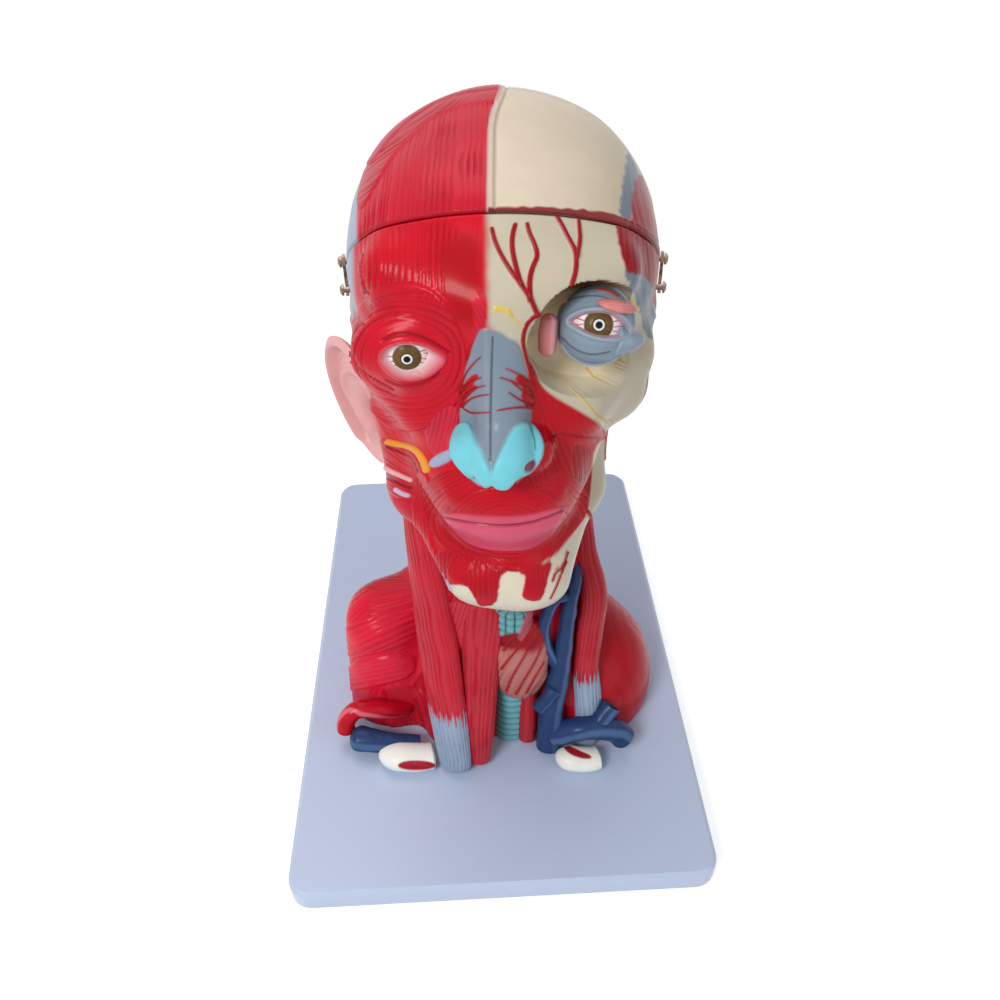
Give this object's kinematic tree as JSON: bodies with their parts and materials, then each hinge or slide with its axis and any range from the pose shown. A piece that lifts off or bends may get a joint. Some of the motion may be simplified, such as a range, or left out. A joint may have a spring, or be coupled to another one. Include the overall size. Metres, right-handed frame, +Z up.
{
  "type": "anatomical head model",
  "caption": "Life-size anatomical head and neck on a board, half muscle and half bone, with a lift-off skull cap, a sectioned brain, a removable eye and neck vessels.",
  "frame": {"origin": "centre of the base board, at the underside of the rubber feet", "axes": "+Z up, the face looks along -Y, +X is the model's own left, the bone side"},
  "size_m": [0.24, 0.36, 0.3828],
  "materials": {
    "board_plastic": "satin moulded plastic, very pale lavender white",
    "muscle": "hand-painted red over fine fibre relief, semi-gloss varnish",
    "bone": "cream painted casting, semi-gloss varnish",
    "skin": "pink painted casting, semi-gloss",
    "eye": "glossy white eyeball with a painted brown iris",
    "eyelid_grey": "grey painted lid casting, semi-gloss",
    "gland": "pink painted gland, semi-gloss",
    "cartilage": "pale teal painted windpipe rings, semi-gloss",
    "vein": "dark blue painted vessels, glossy",
    "artery": "bright red painted vessels, glossy",
    "brain": "pinkish painted brain castings, semi-gloss",
    "steel": "nickel plated steel hooks and screws",
    "rubber": "black rubber"
  },
  "bodies": {
    "bust_on_board": {"base_board": "board_plastic", "head_and_neck": "muscle", "right_ear": "skin", "right_eyeball": "eye", "right_sternomastoid": "muscle", "left_sternomastoid": "muscle", "trachea": "cartilage", "thyroid_gland": "gland", "right_strap_muscle": "muscle", "left_jugular_vein": "vein", "left_carotid_artery": "artery", "right_subclavian_vein": "vein", "right_subclavian_artery": "artery", "right_clavicle_end": "bone", "left_clavicle_end": "bone", "rubber_foot_1": "rubber", "base_screw_1": "steel", "base_washer_1": "steel", "rubber_foot_2": "rubber", "base_screw_2": "steel", "base_washer_2": "steel", "rubber_foot_3": "rubber", "base_screw_3": "steel", "base_washer_3": "steel", "rubber_foot_4": "rubber", "base_screw_4": "steel", "base_washer_4": "steel", "right_latch_stud": "steel", "left_latch_stud": "steel"},
    "skull_cap": {"skull_cap": "bone", "right_latch_screw": "steel", "left_latch_screw": "steel"},
    "right_hook": {"right_latch_hook": "steel"},
    "left_hook": {"left_latch_hook": "steel"},
    "left_eye": {"left_eyeball": "eye", "left_eyelids": "eyelid_grey", "left_lacrimal_sac": "gland", "left_lacrimal_gland": "gland"},
    "right_frontal_lobe_body": {"right_frontal_lobe": "brain"},
    "right_temporal_lobe_body": {"right_temporal_lobe": "brain"},
    "right_cerebellum_body": {"right_cerebellum": "brain"},
    "right_brain_stem_body": {"right_brain_stem": "brain"},
    "left_frontal_lobe_body": {"left_frontal_lobe": "brain"},
    "left_temporal_lobe_body": {"left_temporal_lobe": "brain"},
    "left_cerebellum_body": {"left_cerebellum": "brain"},
    "left_brain_stem_body": {"left_brain_stem": "brain"}
  },
  "joints": [
    {"name": "cap_lift", "type": "slide", "parent": "bust_on_board", "child": "skull_cap", "axis": [0.0385, 0.668, 0.7431], "range_m": [0, 0.22]},
    {"name": "right_hook_swing", "type": "hinge", "parent": "skull_cap", "child": "right_hook", "pos_m": [-0.06065, -0.00358, 0.30501], "axis": [-0.9972, -0.0734, 0.0144], "range_deg": [-80, 42]},
    {"name": "left_hook_swing", "type": "hinge", "parent": "skull_cap", "child": "left_hook", "pos_m": [0.08276, -0.01185, 0.30501], "axis": [-0.9822, 0.1875, -0.0144], "range_deg": [-80, 42]},
    {"name": "left_eye_pull", "type": "slide", "parent": "bust_on_board", "child": "left_eye", "axis": [0.1432, -0.9897, 0], "range_m": [0, 0.06]},
    {"name": "right_frontal_lobe_lift", "type": "slide", "parent": "bust_on_board", "child": "right_frontal_lobe_body", "axis": [0.0385, 0.668, 0.7431], "range_m": [0, 0.1384]},
    {"name": "right_temporal_lobe_lift", "type": "slide", "parent": "bust_on_board", "child": "right_temporal_lobe_body", "axis": [0.0385, 0.668, 0.7431], "range_m": [0, 0.0944]},
    {"name": "right_cerebellum_lift", "type": "slide", "parent": "bust_on_board", "child": "right_cerebellum_body", "axis": [0.0385, 0.668, 0.7431], "range_m": [0, 0.057]},
    {"name": "right_brain_stem_lift", "type": "slide", "parent": "bust_on_board", "child": "right_brain_stem_body", "axis": [0.0385, 0.668, 0.7431], "range_m": [0, 0.0284]},
    {"name": "left_frontal_lobe_lift", "type": "slide", "parent": "bust_on_board", "child": "left_frontal_lobe_body", "axis": [0.0385, 0.668, 0.7431], "range_m": [0, 0.1384]},
    {"name": "left_temporal_lobe_lift", "type": "slide", "parent": "bust_on_board", "child": "left_temporal_lobe_body", "axis": [0.0385, 0.668, 0.7431], "range_m": [0, 0.0944]},
    {"name": "left_cerebellum_lift", "type": "slide", "parent": "bust_on_board", "child": "left_cerebellum_body", "axis": [0.0385, 0.668, 0.7431], "range_m": [0, 0.057]},
    {"name": "left_brain_stem_lift", "type": "slide", "parent": "bust_on_board", "child": "left_brain_stem_body", "axis": [0.0385, 0.668, 0.7431], "range_m": [0, 0.0284]}
  ],
  "couplings": [
    {"joint": "right_frontal_lobe_lift", "follows": "cap_lift", "ratio": 0.62},
    {"joint": "right_temporal_lobe_lift", "follows": "cap_lift", "ratio": 0.42},
    {"joint": "right_cerebellum_lift", "follows": "cap_lift", "ratio": 0.25},
    {"joint": "right_brain_stem_lift", "follows": "cap_lift", "ratio": 0.12},
    {"joint": "left_frontal_lobe_lift", "follows": "cap_lift", "ratio": 0.62},
    {"joint": "left_temporal_lobe_lift", "follows": "cap_lift", "ratio": 0.42},
    {"joint": "left_cerebellum_lift", "follows": "cap_lift", "ratio": 0.25},
    {"joint": "left_brain_stem_lift", "follows": "cap_lift", "ratio": 0.12}
  ]
}
